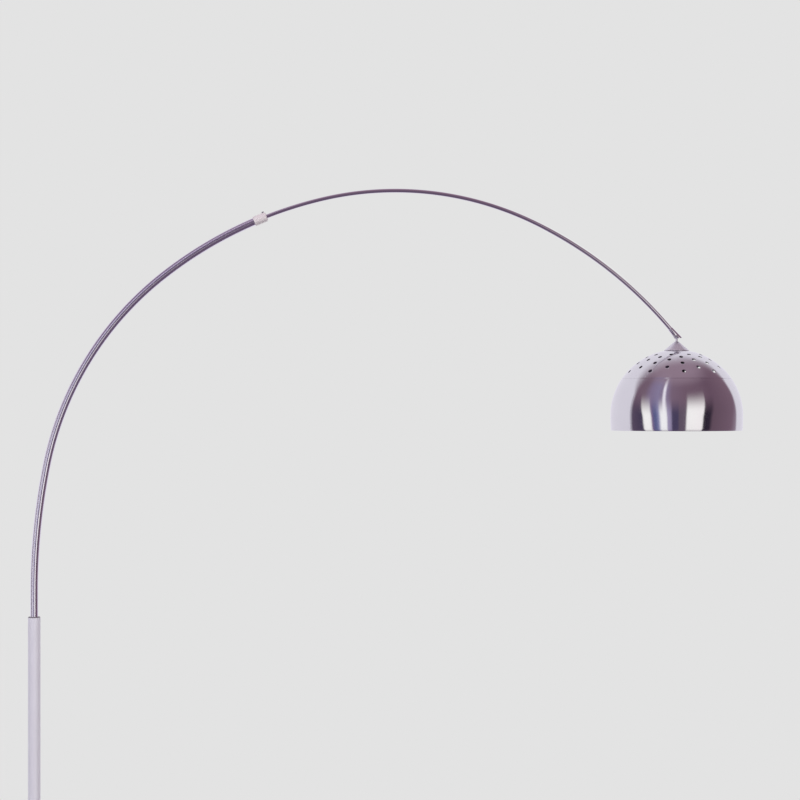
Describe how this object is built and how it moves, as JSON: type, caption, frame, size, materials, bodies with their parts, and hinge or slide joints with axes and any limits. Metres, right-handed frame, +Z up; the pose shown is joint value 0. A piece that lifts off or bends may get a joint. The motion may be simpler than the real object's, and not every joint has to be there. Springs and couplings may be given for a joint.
{
  "type": "arc floor lamp",
  "caption": "Arc floor lamp: round stone foot, straight post, telescoping bow arm and a hanging perforated dome shade that tilts and turns.",
  "frame": {"origin": "middle of the foot's underside, on the floor", "axes": "+Z straight up, +X the way the bow reaches out over the floor at rest, +Y completes the right-handed set"},
  "size_m": [1.8968, 0.36, 2.0996],
  "materials": {
    "marble": "satin",
    "felt": "matte",
    "steel": "satin",
    "satin": "satin",
    "chrome": "polished",
    "pearl": "satin",
    "nylon": "matte",
    "spun": "gloss",
    "brass": "satin",
    "bakelite": "satin",
    "porcelain": "satin",
    "opal": "gloss",
    "sheath": "matte"
  },
  "bodies": {
    "stand": {"base_stone": "marble", "base_pad": "felt", "clamp_washer": "steel", "clamp_nut": "steel", "tie_rod": "steel", "post_tube": "satin", "post_plug": "steel", "post_flange": "satin", "cord_gland": "nylon", "post_bush_top": "nylon", "post_bush_low": "nylon", "lead_post": "sheath"},
    "outer_arm": {"outer_arm_tube": "chrome", "tail_ring": "nylon", "lead_outer": "sheath", "collar": "pearl", "collar_bush": "nylon"},
    "lock_screw": {"collar_screw": "steel"},
    "inner_arm": {"inner_arm_tube": "chrome", "inner_glide": "nylon", "lead_inner": "sheath", "end_ferrule": "chrome", "knuckle_pin": "steel"},
    "knuckle": {"swivel_stem": "chrome", "stem_nut": "steel"},
    "shade": {"cone_cap": "spun", "swivel_barrel": "brass", "nipple": "brass", "shade_washer": "steel", "nipple_nut": "brass", "shade_upper": "spun", "shade_lower": "spun", "holder_cap": "bakelite", "holder_body": "bakelite", "holder_insert": "porcelain", "lead_head": "sheath", "centre_contact": "brass", "screw_shell": "brass", "bulb_tip": "brass", "bulb_cap": "steel", "bulb_glass": "opal"}
  },
  "joints": [
    {"name": "arm_swivel", "type": "hinge", "parent": "stand", "child": "outer_arm", "pos_m": [0, 0, 1.06], "axis": [0, 0, 1], "range_deg": [-170, 170]},
    {"name": "reach_slide", "type": "hinge", "parent": "outer_arm", "child": "inner_arm", "pos_m": [0.92469, 0, 1.1104], "axis": [0, 1, 0], "range_deg": [-7.5, 4]},
    {"name": "lock_screw_turn", "type": "hinge", "parent": "outer_arm", "child": "lock_screw", "pos_m": [0.55842, 0, 2.03022], "axis": [-0.3802, 0, 0.9249], "range_deg": [0, 360]},
    {"name": "shade_tilt", "type": "hinge", "parent": "inner_arm", "child": "knuckle", "pos_m": [1.55685, 0, 1.74182], "axis": [0, 1, 0], "range_deg": [-45, 45]},
    {"name": "shade_turn", "type": "hinge", "parent": "knuckle", "child": "shade", "pos_m": [1.55685, 0, 1.74182], "axis": [0, 0, 1], "range_deg": [-170, 170]}
  ]
}
